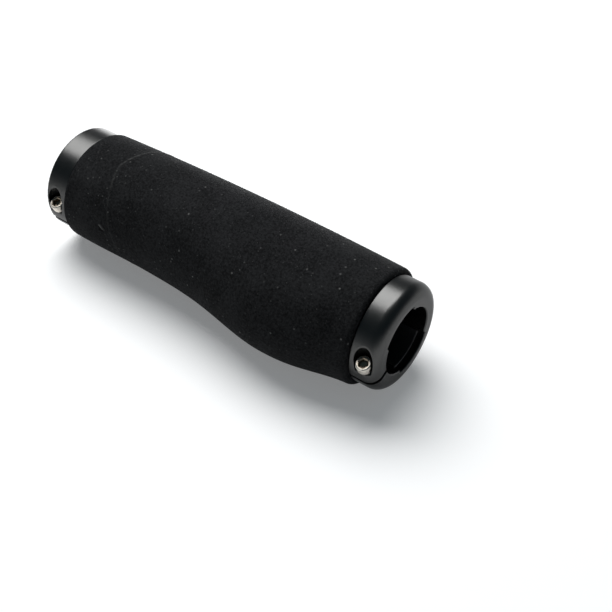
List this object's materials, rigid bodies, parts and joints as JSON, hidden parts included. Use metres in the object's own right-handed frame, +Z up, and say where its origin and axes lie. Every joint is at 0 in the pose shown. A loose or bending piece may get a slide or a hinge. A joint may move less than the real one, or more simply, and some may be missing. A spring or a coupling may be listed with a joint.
{
  "type": "handlebar grip",
  "caption": "Lock-on bicycle handlebar grip: foam sleeve with a palm swell on a core tube, clamped by a split ring and socket bolt at each end.",
  "frame": {"origin": "middle of the grip's box, at the bottom, on the surface that it lies on", "axes": "+X along the grip towards its open outer end; +Z up; the palm swell and the bolt heads face -Y. The bar's axis runs along X at y 2.099 mm, z 19.65 mm."},
  "size_m": [0.1332, 0.0444, 0.0397],
  "materials": {
    "foam": "matt closed-cell foam, dark charcoal, fine grain with scattered pale specks",
    "anodised_ring": "satin black anodised, turned",
    "bolt_steel": "bright machined steel",
    "core_plastic": "smooth moulded, black"
  },
  "bodies": {
    "root": {"core_tube": "core_plastic", "foam_sleeve": "foam", "outer_clamp_ring": "anodised_ring", "inner_clamp_ring": "anodised_ring", "outer_clamp_bolt": "bolt_steel", "inner_clamp_bolt": "bolt_steel"}
  },
  "joints": []
}
